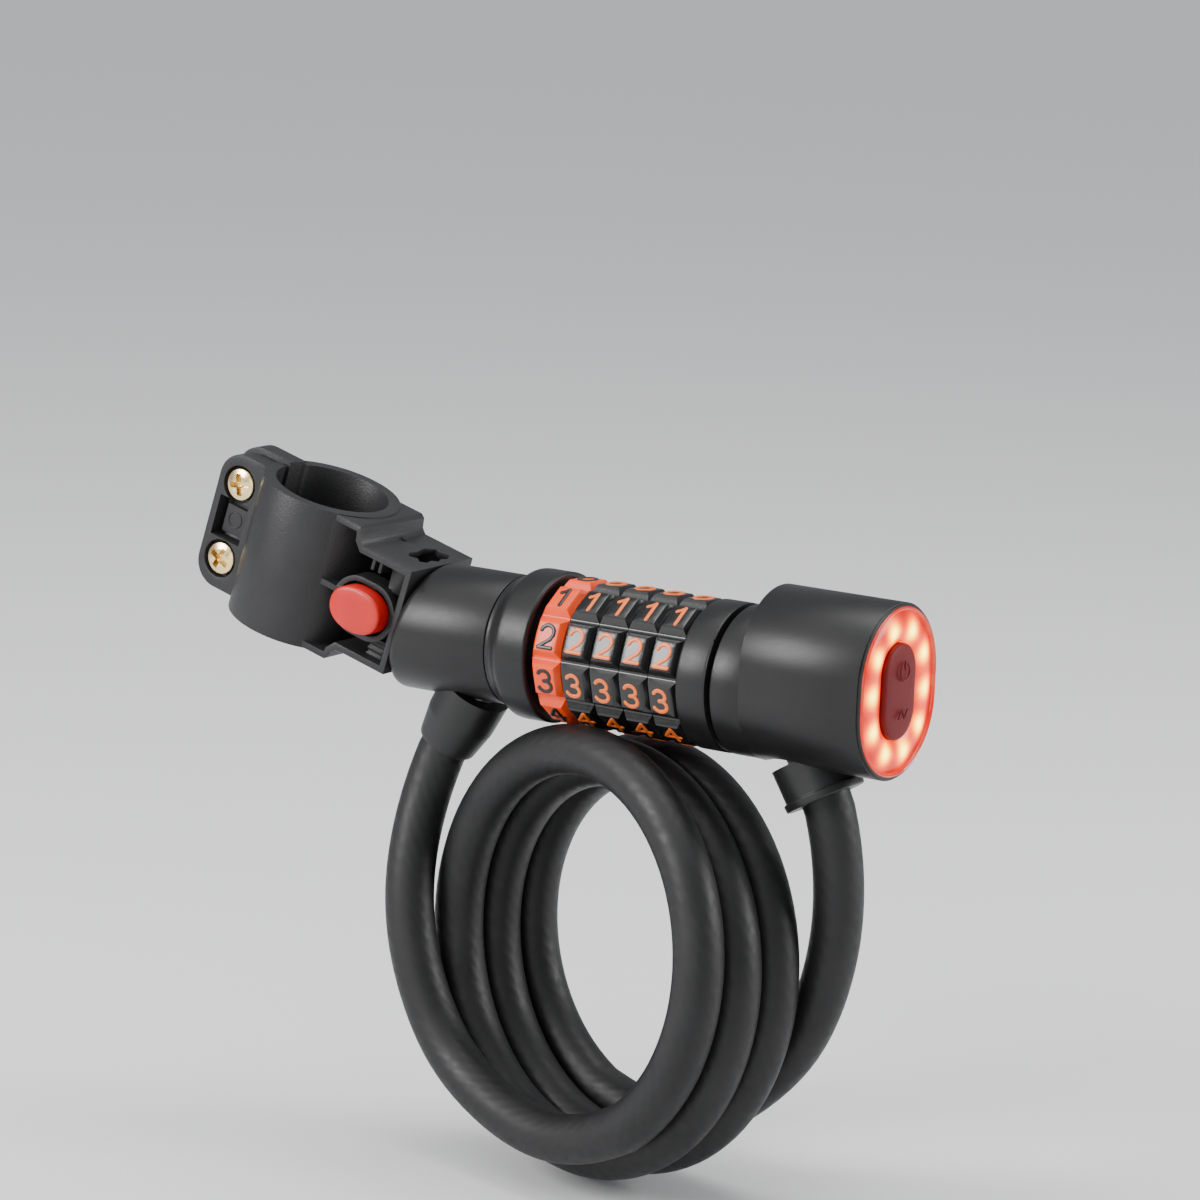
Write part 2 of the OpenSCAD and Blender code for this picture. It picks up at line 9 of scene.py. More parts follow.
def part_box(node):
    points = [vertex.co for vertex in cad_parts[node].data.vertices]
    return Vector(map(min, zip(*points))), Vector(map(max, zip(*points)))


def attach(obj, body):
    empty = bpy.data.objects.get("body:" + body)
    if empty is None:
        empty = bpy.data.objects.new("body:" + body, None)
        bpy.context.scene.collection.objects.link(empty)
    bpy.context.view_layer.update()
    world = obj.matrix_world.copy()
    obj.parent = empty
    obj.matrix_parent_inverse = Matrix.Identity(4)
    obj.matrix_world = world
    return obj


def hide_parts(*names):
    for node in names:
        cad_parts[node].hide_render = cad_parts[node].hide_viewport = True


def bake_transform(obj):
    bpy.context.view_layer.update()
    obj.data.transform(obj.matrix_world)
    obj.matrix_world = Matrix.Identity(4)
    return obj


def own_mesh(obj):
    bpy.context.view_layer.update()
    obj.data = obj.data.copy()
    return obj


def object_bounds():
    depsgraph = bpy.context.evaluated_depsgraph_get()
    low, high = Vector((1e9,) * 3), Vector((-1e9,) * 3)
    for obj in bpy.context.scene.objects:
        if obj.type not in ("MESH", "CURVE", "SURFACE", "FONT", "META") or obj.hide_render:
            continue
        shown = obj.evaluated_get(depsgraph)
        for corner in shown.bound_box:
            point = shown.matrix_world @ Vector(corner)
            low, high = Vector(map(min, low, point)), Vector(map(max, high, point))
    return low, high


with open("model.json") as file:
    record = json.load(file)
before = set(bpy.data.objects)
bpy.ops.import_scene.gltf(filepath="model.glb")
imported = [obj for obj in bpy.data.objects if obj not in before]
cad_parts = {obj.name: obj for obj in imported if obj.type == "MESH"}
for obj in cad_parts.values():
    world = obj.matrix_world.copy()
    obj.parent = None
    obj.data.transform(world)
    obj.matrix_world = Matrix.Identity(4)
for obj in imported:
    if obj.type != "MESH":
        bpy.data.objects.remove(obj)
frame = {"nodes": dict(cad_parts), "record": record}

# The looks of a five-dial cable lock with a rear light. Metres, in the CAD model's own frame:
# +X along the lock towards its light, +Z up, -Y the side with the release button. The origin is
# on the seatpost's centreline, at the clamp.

cad_low, cad_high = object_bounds()
NODES = frame["nodes"]
MM = 0.001


# ---------- places and angles that several pieces share ----------

def middle(node):
    """The middle of a node's box."""
    low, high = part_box(node)
    return (low + high) / 2


AXIS_Z = middle("code_ring_3").z                       # height of the lock's long axis
DIAL_X = [middle(f"code_ring_{k}").x for k in range(1, 6)]
DIAL_R = 17.3 * MM                                     # from the axis to a number pad's flat top
LEFT_MOUTH = Vector((0.0418, 0.0, -0.0406))            # where the cable leaves its left collar
RIGHT_MOUTH = Vector((0.1489, 0.0, -0.0374))           # and its right collar
GLAND_LEAN = math.radians(30)                          # both collars' lean from upright
POST_LEAN = math.radians(16)                           # the seatpost's lean from upright


# ---------- camera ----------

def make_camera():
    """The photograph's viewing direction, from far off with a long lens."""
    azimuth, elevation, roll = (math.radians(a) for a in (32.76, 10.87, 2.38))
    distance, across, up_by = 1.2002, 0.0705, -0.0111
    ahead = Vector((-math.sin(azimuth) * math.cos(elevation),
                    math.cos(azimuth) * math.cos(elevation), -math.sin(elevation)))
    level = Vector((math.cos(azimuth), math.sin(azimuth), 0))
    upright = level.cross(ahead)
    right = math.cos(roll) * level + math.sin(roll) * upright
    up = math.cos(roll) * upright - math.sin(roll) * level
    camera = bpy.data.objects.new("camera", bpy.data.cameras.new("camera"))
    bpy.context.scene.collection.objects.link(camera)
    camera.data.sensor_width = 36
    camera.data.lens = 145.9
    camera.data.clip_end = 50
    turn = Matrix((right, up, -ahead)).transposed()
    place = -ahead * distance + right * across + up * up_by
    camera.matrix_world = Matrix.Translation(place) @ turn.to_4x4()
    bpy.context.scene.camera = camera


make_camera()


# ---------- mesh helpers ----------

def add_mesh(name, points, faces, smooth_below=35):
    """A new mesh object; edges sharper than smooth_below degrees stay crisp."""
    mesh = bpy.data.meshes.new(name)
    mesh.from_pydata([tuple(p) for p in points], [], faces)
    mesh.validate()
    edit = bmesh.new()
    edit.from_mesh(mesh)
    bmesh.ops.recalc_face_normals(edit, faces=edit.faces)
    edit.to_mesh(mesh)
    edit.free()
    mesh.polygons.foreach_set("use_smooth", [True] * len(mesh.polygons))
    mesh.set_sharp_from_angle(angle=math.radians(smooth_below))
    made = bpy.data.objects.new(name, mesh)
    bpy.context.scene.collection.objects.link(made)
    return made


def smooth_path(points, steps):
    """A smooth curve through the points, with steps to each stretch (Catmull-Rom)."""
    points = [Vector(p) for p in points]
    ends = [2 * points[0] - points[1], *points, 2 * points[-1] - points[-2]]
    path = []
    for a, b, c, d in zip(ends, ends[1:], ends[2:], ends[3:]):
        for k in range(steps):
            t = k / steps
            path.append(0.5 * (2 * b + (c - a) * t + (2 * a - 5 * b + 4 * c - d) * t * t
                               + (3 * b - a - 3 * c + d) * t * t * t))
    path.append(points[-1])
    return path


def sweep(path, radius, sides, start_dir=None, end_dir=None):
    """Rings of points round a path, carried along it without twist, and each ring's distance."""
    count = len(path)
    tangents = [(path[min(i + 1, count - 1)] - path[max(i - 1, 0)]).normalized()
                for i in range(count)]
    if start_dir is not None:
        tangents[0] = Vector(start_dir).normalized()
    if end_dir is not None:
        tangents[-1] = Vector(end_dir).normalized()
    side = tangents[0].orthogonal().normalized()
    rings, run, length = [], [0.0], 0.0
    for i, (here, along) in enumerate(zip(path, tangents)):
        if i:
            side = tangents[i - 1].rotation_difference(along) @ side
            length += (here - path[i - 1]).length
            run.append(length)
        side = (side - side.dot(along) * along).normalized()
        other = along.cross(side)
        rings.append([here + radius * (math.cos(a) * side + math.sin(a) * other)
                      for a in (2 * math.pi * k / sides for k in range(sides))])
    return rings, run


# ---------- materials ----------

NOISE_LOW, NOISE_HIGH = 0.3, 0.7                       # a noise node's usual span


class Look:
    """A node material that is put together step by step round one Principled shader."""

    def __init__(self, name):
        self.material = bpy.data.materials.new(name)
        self.material.use_nodes = True
        self.tree = self.material.node_tree
        self.shader = self.tree.nodes["Principled BSDF"]
        self.place = self.tree.nodes.new("ShaderNodeTexCoord").outputs["Object"]

    def set(self, **values):
        """Sets the shader's own sockets; an underscore in a name stands for a space."""
        for socket, value in values.items():
            self.shader.inputs[socket.replace("_", " ")].default_value = value
        return self

    def noise(self, size, detail=3.0, stretch=(1, 1, 1)):
        """Noise whose features are about size metres across."""
        mapping = self.tree.nodes.new("ShaderNodeMapping")
        mapping.inputs["Scale"].default_value = [1 / (size * s) for s in stretch]
        self.tree.links.new(self.place, mapping.inputs["Vector"])
        noise = self.tree.nodes.new("ShaderNodeTexNoise")
        noise.inputs["Scale"].default_value = 1.0
        noise.inputs["Detail"].default_value = detail
        self.tree.links.new(mapping.outputs["Vector"], noise.inputs["Vector"])
        return noise.outputs["Fac"]

    def ramp(self, value, stops):
        """Colours picked by a value, from (place, colour) stops."""
        ramp = self.tree.nodes.new("ShaderNodeValToRGB")
        elements = ramp.color_ramp.elements
        while len(elements) < len(stops):
            elements.new(0.5)
        for element, (at, colour) in zip(elements, stops):
            element.position = at
            element.color = (*colour, 1)
        self.tree.links.new(value, ramp.inputs["Fac"])
        return ramp.outputs["Color"]

    def spread(self, value, low, high):
        """Maps the usual span of a noise to low..high."""
        scale = self.tree.nodes.new("ShaderNodeMapRange")
        scale.inputs["From Min"].default_value = NOISE_LOW
        scale.inputs["From Max"].default_value = NOISE_HIGH
        scale.inputs["To Min"].default_value = low
        scale.inputs["To Max"].default_value = high
        self.tree.links.new(value, scale.inputs["Value"])
        return scale.outputs["Result"]

    def colour(self, value, dark, light):
        """Base colour from dark to light over a noise's usual span."""
        self.tree.links.new(self.ramp(value, [(NOISE_LOW, dark), (NOISE_HIGH, light)]),
                            self.shader.inputs["Base Color"])

    def roughness(self, value, low, high):
        """Roughness from low to high over a noise's usual span."""
        self.tree.links.new(self.spread(value, low, high), self.shader.inputs["Roughness"])

    def bump(self, value, height):
        """Adds relief of about height metres on top of any relief before it."""
        bump = self.tree.nodes.new("ShaderNodeBump")
        bump.inputs["Distance"].default_value = height
        self.tree.links.new(value, bump.inputs["Height"])
        before = self.shader.inputs["Normal"].links
        if before:
            self.tree.links.new(before[0].from_socket, bump.inputs["Normal"])
        self.tree.links.new(bump.outputs["Normal"], self.shader.inputs["Normal"])


def shade(colour, by):
    """The colour made darker or lighter by a factor."""
    return tuple(min(1.0, c * by) for c in colour)


def moulded(name, colour, rough, grain, depth, vary=0.14, shine=0.4):
    """Moulded plastic: mottled colour, uneven sheen and a spark-eroded grain."""
    mottle, patch, uneven = 9 * MM, 0.9 * MM, 0.03
    look = Look(name).set(Specular_IOR_Level=shine)
    look.colour(look.noise(mottle), shade(colour, 1 - vary), shade(colour, 1 + vary))
    look.roughness(look.noise(patch), rough - uneven, rough + uneven)
    look.bump(look.noise(grain, 2.0), depth)
    return look.material


def metal(name, colour, rough, stretch=(1, 1, 1)):
    """Bare or plated metal with fine machining lines drawn out along the stretch."""
    tarnish, line = 3 * MM, 0.25 * MM
    look = Look(name).set(Metallic=1.0)
    look.colour(look.noise(tarnish), shade(colour, 0.82), shade(colour, 1.08))
    look.roughness(look.noise(line, 3.0, stretch), rough - 0.08, rough + 0.1)
    look.bump(look.noise(line, 2.0, stretch), 0.006 * MM)
    return look.material


def cable_look():
    """Matte cover over twisted steel strands, which print through as faint slanting bands."""
    strands, lay_length = 12, 55 * MM
    look = Look("matte_cable_cover")
    look.set(Specular_IOR_Level=0.34)
    tree = look.tree
    route = tree.nodes.new("ShaderNodeUVMap")
    route.uv_map = "route"
    split = tree.nodes.new("ShaderNodeSeparateXYZ")
    tree.links.new(route.outputs["UV"], split.inputs["Vector"])
    turns = tree.nodes.new("ShaderNodeMath")
    turns.operation = "MULTIPLY_ADD"
    turns.inputs[1].default_value = strands * 2 * math.pi
    tree.links.new(split.outputs["X"], turns.inputs[0])
    slant = tree.nodes.new("ShaderNodeMath")
    slant.operation = "MULTIPLY"
    slant.inputs[1].default_value = strands * 2 * math.pi / lay_length
    tree.links.new(split.outputs["Y"], slant.inputs[0])
    tree.links.new(slant.outputs["Value"], turns.inputs[2])
    wave = tree.nodes.new("ShaderNodeMath")
    wave.operation = "SINE"
    tree.links.new(turns.outputs["Value"], wave.inputs[0])
    look.colour(look.noise(14 * MM), (0.0065, 0.0065, 0.007), (0.011, 0.011, 0.0115))
    look.roughness(look.noise(2.2 * MM, 4.0), 0.44, 0.58)
    look.bump(wave.outputs["Value"], 0.014 * MM)
    look.bump(look.noise(0.5 * MM, 3.0), 0.012 * MM)
    look.bump(look.noise(6 * MM, 2.0), 0.06 * MM)
    return look.material


def glow_look():
    """The lit lens: pale yellow over each lamp, falling through orange to red between them."""
    dim, bright = 0.7, 7.7                             # emission between the lamps and over one
    look = Look("lit_red_lens")
    look.set(Base_Color=(0.12, 0.002, 0.001, 1), Roughness=0.2, Specular_IOR_Level=0.3)
    tree = look.tree
    glow = tree.nodes.new("ShaderNodeAttribute")
    glow.attribute_name = "glow"
    tint = look.ramp(glow.outputs["Fac"], [
        (0.0, (1.0, 0.010, 0.0)), (0.25, (1.0, 0.060, 0.0)), (0.5, (1.0, 0.24, 0.0)),
        (0.75, (1.0, 0.55, 0.01)), (1.0, (1.0, 0.88, 0.14))
    ])
    tree.links.new(tint, look.shader.inputs["Emission Color"])
    strength = tree.nodes.new("ShaderNodeMath")
    strength.operation = "MULTIPLY_ADD"
    strength.inputs[1].default_value = bright - dim
    strength.inputs[2].default_value = dim
    tree.links.new(glow.outputs["Fac"], strength.inputs[0])
    tree.links.new(strength.outputs["Value"], look.shader.inputs["Emission Strength"])
    look.bump(look.noise(1.2 * MM, 2.0), 0.05 * MM)
    return look.material


def rim_look():
    """Clear edge of the lens, lit from within."""
    look = Look("lens_edge")
    look.set(Base_Color=(0.3, 0.004, 0.002, 1), Roughness=0.1, Emission_Strength=0.7)
    tint = look.ramp(look.noise(4 * MM, 2.0), [(0.35, (1.0, 0.012, 0.004)), (0.65, (1.0, 0.12, 0.04))])
    look.tree.links.new(tint, look.shader.inputs["Emission Color"])
    return look.material


def lamp_look():
    """A lamp chip behind the lens, lit warm white."""
    look = Look("lit_lamp").set(Emission_Strength=6.0)
    tint = look.ramp(look.noise(0.8 * MM), [(NOISE_LOW, (1.0, 0.45, 0.25)), (NOISE_HIGH, (1.0, 0.8, 0.55))])
    look.tree.links.new(tint, look.shader.inputs["Emission Color"])
    return look.material


def board_look():
    """Solder mask with copper tracks that show as faint lines."""
    mask, track = (0.015, 0.12, 0.05), (0.05, 0.25, 0.10)
    look = Look("circuit_board")
    tracks = look.noise(1.1 * MM, 0.0, (0.3, 3, 1))
    look.tree.links.new(look.ramp(tracks, [(0.46, mask), (0.5, track), (0.54, mask)]),
                        look.shader.inputs["Base Color"])
    look.roughness(look.noise(2 * MM), 0.3, 0.45)
    return look.material


def make_looks():
    """One material for each of the record's slots."""
    black, deep_black, grey_black = (0.0085, 0.0085, 0.009), (0.008, 0.008, 0.0085), (0.016, 0.016, 0.017)
    return {
        "bracket_plastic": moulded("grained_bracket", grey_black, 0.46, 0.5 * MM, 0.075 * MM, shine=0.34),
        "black_plastic": moulded("satin_black", black, 0.38, 0.42 * MM, 0.022 * MM, shine=0.32),
        "collar_plastic": moulded("satin_collar", black, 0.42, 0.42 * MM, 0.022 * MM),
        "dial_plastic": moulded("gloss_black", deep_black, 0.22, 0.35 * MM, 0.005 * MM, shine=0.5),
        "orange_plastic": moulded("orange_dial", (0.80, 0.060, 0.004), 0.34, 0.3 * MM, 0.006 * MM, vary=0.07),
        "red_plastic": moulded("red_button", (0.50, 0.010, 0.007), 0.38, 0.25 * MM, 0.008 * MM, vary=0.08),
        "switch_plastic": moulded("switch_body", (0.03, 0.03, 0.03), 0.4, 0.3 * MM, 0.005 * MM),
        "port_rubber": moulded("port_rubber", (0.018, 0.018, 0.019), 0.62, 0.2 * MM, 0.012 * MM),
        "button_silicone": moulded("dark_red_silicone", (0.120, 0.003, 0.004), 0.5, 0.3 * MM, 0.010 * MM,
                                   shine=0.2),
        "battery_wrap": moulded("battery_wrap", (0.30, 0.33, 0.38), 0.28, 2.5 * MM, 0.05 * MM, vary=0.1),
        "board": board_look(),
        "led": lamp_look(),
        "lens": glow_look(),
        "cable_cover": cable_look(),
        "yellow_zinc": metal("yellow_zinc", (0.90, 0.70, 0.36), 0.24),
        "zinc_steel": metal("zinc_plate", (0.60, 0.61, 0.63), 0.34),
        "spring_steel": metal("spring_wire", (0.55, 0.56, 0.58), 0.28),
        "spigot_metal": metal("turned_spigot", (0.50, 0.50, 0.52), 0.32, (0.15, 4, 4)),
        "core_steel": metal("ground_steel", (0.62, 0.63, 0.65), 0.26, (0.15, 4, 4)),
        "code_brass": metal("turned_brass", (0.74, 0.54, 0.25), 0.30, (0.15, 4, 4)),
    }


LOOKS = make_looks()


def give(piece, material):
    """The piece wears this material and no other."""
    piece.data.materials.clear()
    piece.data.materials.append(material)


# how widely each CAD node's edges are rounded, in millimetres, where it isn't PLAIN_EDGE
EDGE = {"clamp_bracket": 0.28, "head_shell": 0.35, "plug_holder": 0.3, "right_end_ring": 0.3,
        "usb_socket": 0.1, "tact_switch": 0.1, "leds": 0.1, "button_spring": 0.01,
        "detent_springs": 0.01, "retaining_clip": 0.02}
PLAIN_EDGE = 0.2


def dress_frame():
    """Every CAD node gets its slot's material and finely rounded edges."""
    for part in frame["record"]["subparts"]:
        node = NODES[part["node"]]
        give(node, LOOKS[part["material_slot"]])
        node.data.polygons.foreach_set("use_smooth", [True] * len(node.data.polygons))
        weld = node.modifiers.new("weld", "WELD")
        weld.merge_threshold = 0.004 * MM
        bevel = node.modifiers.new("round", "BEVEL")
        bevel.limit_method = "ANGLE"
        bevel.angle_limit = math.radians(38)
        bevel.width = EDGE.get(part["node"], PLAIN_EDGE) * MM
        bevel.segments = 2


dress_frame()


# ---------- cable ----------

CABLE_D = 12 * MM
CABLE_SIDES = 40
COIL_R = 46.8 * MM                                     # at the middle of the cable
COIL_PITCH = 12 * MM                                   # the loops touch
COIL_YAW = math.radians(16)                            # turn of the coil's axis from +Y
COIL_TILT = math.radians(-2.9)                         # and its rise
COIL_MIDDLE = Vector((94.5, -4.2, -80.1)) * MM
COIL_FROM, COIL_TO = -0.035, 3.06                      # in turns, from the bottom of the front loop
LOOP_SAG = 4.3 * MM                                    # of the coil's middle under its two ends
# the cable's way from each collar to the coil, in millimetres, as in the CAD model
LEFT_LEAD = [
    (41.8, 0, -40.6), (39.4, -1, -46), (38.2, -3.4, -54), (37.9, -6.4, -62), (38.2, -9, -71),
    (39.3, -11, -81), (42.2, -12, -92), (46.8, -12.5, -102.5), (53, -13.4, -112), (61, -15, -119)
]
RIGHT_LEAD = [
    (148.9, 0, -37.4), (150.9, 0.5, -43), (152, 1.5, -51), (152.6, 2.3, -60), (152.2, 2.8, -69.5),
    (150.6, 3.2, -79), (147.4, 4, -89), (142.4, 5, -99), (135.6, 6.5, -108.5)
]


def smooth_step(t):
    """0 below 0 and 1 above 1, with a smooth rise between."""
    t = min(1.0, max(0.0, t))
    return t * t * (3 - 2 * t)


def coil_point(turn):
    """A point on the coil's centreline; turn 0 is the bottom of the front loop."""
    out = Vector((math.sin(COIL_YAW) * math.cos(COIL_TILT),
                  math.cos(COIL_YAW) * math.cos(COIL_TILT), math.sin(COIL_TILT)))
    level = Vector((math.cos(COIL_YAW), -math.sin(COIL_YAW), 0))
    upright = level.cross(out)
    a = 2 * math.pi * turn
    # full sag from turn 1.0 to turn 2.6, fading out over the turns beside the leads
    sag = LOOP_SAG * smooth_step((turn - 0.4) / 0.6) * smooth_step((3.0 - turn) / 0.4)
    place = COIL_MIDDLE + out * COIL_PITCH * (turn - 1.5)
    place = place + COIL_R * (math.sin(a) * level - math.cos(a) * upright)
    return place - Vector((0, 0, sag))


def eased(path):
    """Every point moved halfway to the middle of its two neighbours."""
    inner = [(a + 2 * b + c) / 4 for a, b, c in zip(path, path[1:], path[2:])]
    return [path[0], *inner, path[-1]]


def cable_route():
    """The whole cable, from the left collar round the coil to the right collar."""
    per_turn, steps, passes = 24, 4, 20
    left = [Vector(p) * MM for p in LEFT_LEAD]
    right = [Vector(p) * MM for p in reversed(RIGHT_LEAD)]
    count = round((COIL_TO - COIL_FROM) * per_turn)
    coil = [coil_point(COIL_FROM + (COIL_TO - COIL_FROM) * k / count) for k in range(count + 1)]
    route = smooth_path([*left, *coil, *right], steps)
    # the leads and their joins to the coil are eased; the cable's two ends and the coil stay
    coil_from, coil_to = steps * (len(left) + 3), len(route) - steps * (len(right) + 3)
    for _ in range(passes):
        route = [q if 2 < i < len(route) - 3 and not coil_from < i < coil_to else route[i]
                 for i, q in enumerate(eased(route))]
    return route


def tube(name, path, radius, sides, start_dir=None, end_dir=None):
    """A closed tube along a path, with a UV map that runs round and along it."""
    rings, run = sweep(path, radius, sides, start_dir, end_dir)
    points = [p for ring in rings for p in ring]
    faces = [(i * sides + k, i * sides + (k + 1) % sides,
              (i + 1) * sides + (k + 1) % sides, (i + 1) * sides + k)
             for i in range(len(rings) - 1) for k in range(sides)]
    faces.append(tuple(range(sides)))
    faces.append(tuple((len(rings) - 1) * sides + k for k in range(sides)))
    made = add_mesh(name, points, faces)
    layer = made.data.uv_layers.new(name="route")
    for face in made.data.polygons:
        spots = [(made.data.loops[n].vertex_index % sides,
                  made.data.loops[n].vertex_index // sides) for n in face.loop_indices]
        wraps = {k for k, _ in spots} == {0, sides - 1}
        for n, (k, i) in zip(face.loop_indices, spots):
            layer.data[n].uv = (1.0 if wraps and k == 0 else k / sides, run[i])
    return made


def make_cable():
    """One real cable in two pieces, which meet out of sight at the top of the third loop: the first stays
    with the lock, and the second is not attached to any body."""
    route = cable_route()
    meet = min(range(len(route)), key=lambda i: (route[i] - coil_point(2.5)).length)
    meet_dir = route[meet + 1] - route[meet - 1]
    left_dir = Vector((-math.sin(GLAND_LEAN), 0, -math.cos(GLAND_LEAN)))
    right_dir = Vector((-math.sin(GLAND_LEAN), 0, math.cos(GLAND_LEAN)))
    front_path, back_path = route[:meet + 1], route[meet:]
    front = tube("cable_front", front_path, CABLE_D / 2, CABLE_SIDES, left_dir, meet_dir)
    back = tube("cable_back", back_path, CABLE_D / 2, CABLE_SIDES, meet_dir, right_dir)
    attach(front, "lock_body")
    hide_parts("cable_lead_left", "cable_coil")
    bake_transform(back)
    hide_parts("cable_lead_right")
    for piece, path, mouth in ((front, front_path, LEFT_MOUTH), (back, back_path, RIGHT_MOUTH)):
        give(piece, LOOKS["cable_cover"])


# ---------- shapes ----------

def fillet(corners):
    """An open outline of (a, b, radius) corners, with each corner rounded to its radius."""
    steps, made = 5, []
    for i, (a, b, radius) in enumerate(corners):
        if radius == 0 or i in (0, len(corners) - 1):
            made.append((a, b))
            continue
        here = Vector((a, b))
        back = Vector(corners[i - 1][:2]) - here
        onward = Vector(corners[i + 1][:2]) - here
        half = back.angle(onward) / 2
        reach = min(radius / math.tan(half), 0.49 * back.length, 0.49 * onward.length)
        start, stop = here + back.normalized() * reach, here + onward.normalized() * reach
        for k in range(steps + 1):
            t = k / steps
            made.append(tuple((1 - t) ** 2 * start + 2 * t * (1 - t) * here + t * t * stop))
    return made


def loft(name, loops, closed=False):
    """Skin through loops of points, all with the same count. It is capped at both ends, or closed,
    when the last loop joins the first."""
    count = len(loops[0])
    points = [p for loop in loops for p in loop]
    spans = len(loops) if closed else len(loops) - 1
    faces = []
    for i in range(spans):
        j = (i + 1) % len(loops)
        faces += [(i * count + k, i * count + (k + 1) % count,
                   j * count + (k + 1) % count, j * count + k) for k in range(count)]
    if not closed:
        faces.append(tuple(range(count)))
        faces.append(tuple((len(loops) - 1) * count + k for k in range(count)))
    return add_mesh(name, points, faces)


def revolve(name, outline, origin, axis, closed=False):
    """Turns an outline of (distance along the axis, radius) round an axis."""
    sides = 96
    axis = Vector(axis).normalized()
    one = axis.orthogonal().normalized()
    two = axis.cross(one)
    loops = [[Vector(origin) + axis * run + r * (math.cos(a) * one + math.sin(a) * two)
              for a in (2 * math.pi * k / sides for k in range(sides))] for run, r in outline]
    return loft(name, loops, closed)


def on_axis(name, outline, closed=False):
    """Turns (x, radius) in millimetres round the lock's long axis."""
    return revolve(name, [(x * MM, r * MM) for x, r in outline], (0, 0, AXIS_Z), (1, 0, 0), closed)


def joined(name, parts):
    """Several meshes made into one."""
    into = bmesh.new()
    for part in parts:
        into.from_mesh(part.data)
    mesh = bpy.data.meshes.new(name)
    into.to_mesh(mesh)
    into.free()
    for part in parts:
        bpy.data.objects.remove(part)
    made = bpy.data.objects.new(name, mesh)
    bpy.context.scene.collection.objects.link(made)
    return made


def settle(piece):
    """Applies the piece's modifiers to its mesh."""
    bpy.context.view_layer.update()
    shown = piece.evaluated_get(bpy.context.evaluated_depsgraph_get())
    mesh = bpy.data.meshes.new_from_object(shown)
    piece.modifiers.clear()
    piece.data = mesh


def cut(piece, cutter):
    """Takes the cutter's volume out of the piece."""
    change = piece.modifiers.new("cut", "BOOLEAN")
    change.object = cutter
    change.operation = "DIFFERENCE"
    settle(piece)
    bpy.data.objects.remove(cutter)


def finish_piece(piece, body, slot, *nodes, look=None):
    """The piece rides on its body, wears its slot's look or its own, and replaces the nodes."""
    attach(piece, body)
    give(piece, look or LOOKS[slot])
    if nodes:
        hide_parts(*nodes)


# ---------- dials ----------

DIAL_W = 7.9 * MM
PADS = 10
PAD_TURN = math.radians(36)                            # from one pad to the next
PAD_ROOT = DIAL_R - 1.35 * MM                          # from the axis to the grooves
PAD_HALF = 3.5 * MM                                    # half of a pad's flat top, round the dial
PAD_SLOPE = 1.1 * MM
PAD_EASE = 0.16                                        # rounding of a slope's two ends, as a share of it
BORE_R = 13 * MM
FRONT_DIGIT = 2
FRONT_LIFT = math.radians(20)                          # the front digit's pad stands this far above -Y


def pad_directions(digit):
    """Outwards from the axis through a digit's pad, and up along the pad."""
    lift = FRONT_LIFT - PAD_TURN * (digit - FRONT_DIGIT)
    return Vector((0, -math.cos(lift), math.sin(lift))), Vector((0, math.sin(lift), math.cos(lift)))


def soft_ramp(t):
    """0 below 0 and 1 above 1, with both ends of the slope eased so that edges are round."""
    if t <= -PAD_EASE:
        return 0.0
    if t < PAD_EASE:
        return (t + PAD_EASE) ** 2 / (4 * PAD_EASE)
    if t <= 1 - PAD_EASE:
        return t
    if t < 1 + PAD_EASE:
        return 1 - (1 + PAD_EASE - t) ** 2 / (4 * PAD_EASE)
    return 1.0


def dial_body(name, x_mid):
    """One closed mesh: ten pads, sloped on all sides, round a ring with a bore."""
    # each loop lies across the dial, t is its height along the pad, and x runs from side to side
    stops = [-PAD_EASE, 0.0, PAD_EASE, 0.5, 1 - PAD_EASE, 1.0, 1 + PAD_EASE]
    slope_t = [PAD_HALF + PAD_SLOPE * (1 - s) for s in stops]
    slope_x = [DIAL_W / 2 - PAD_SLOPE * s for s in stops[1:]]
    gap = PAD_ROOT * math.sin(PAD_TURN / 2)
    half_t = [gap, *slope_t, 0.6 * PAD_HALF, 0.2 * PAD_HALF]
    across = sorted({*half_t, *(-t for t in half_t[1:])}, reverse=True)
    wide = [*(-x for x in slope_x), -1 * MM, 1 * MM, *reversed(slope_x)]
    loops = []
    for pad in range(PADS):
        out, up = pad_directions(FRONT_DIGIT + pad)
        for t in across:
            rim = math.sqrt(PAD_ROOT ** 2 - t ** 2)
            loop = []
            for x in wide:
                rise = soft_ramp(min((PAD_HALF + PAD_SLOPE - abs(t)) / PAD_SLOPE,
                                     (DIAL_W / 2 - abs(x)) / PAD_SLOPE))
                loop.append(Vector((x_mid + x, 0, AXIS_Z)) + up * t
                            + out * (rim + (DIAL_R - rim) * rise))
            spoke = (loop[0] - Vector((x_mid - DIAL_W / 2, 0, AXIS_Z))).normalized()
            for x in (DIAL_W / 2, -DIAL_W / 2):
                loop.append(Vector((x_mid + x, 0, AXIS_Z)) + spoke * BORE_R)
            loops.append(loop)
    # each square is split along the ridge that its pad's two slopes meet in
    count, faces = len(loops[0]), []
    below = [*across[1:], -gap]
    for i in range(len(loops)):
        j, t = (i + 1) % len(loops), across[i % len(across)] + below[i % len(across)]
        for k in range(count):
            n = (k + 1) % count
            a, b, c, d = i * count + k, i * count + n, j * count + n, j * count + k
            x = wide[k] + wide[k + 1] if k + 1 < len(wide) else 0
            faces += [(a, b, d), (b, c, d)] if x * t > 0 else [(a, b, c), (a, c, d)]
    return add_mesh(name, [q for loop in loops for q in loop], faces, 24)


def arc(cx, cy, rx, ry, start, stop, steps):
    """Points on an ellipse about (cx, cy), from one angle to another in degrees."""
    return [(cx + rx * math.cos(math.radians(a)), cy + ry * math.sin(math.radians(a)))
            for a in (start + (stop - start) * k / steps for k in range(steps + 1))]


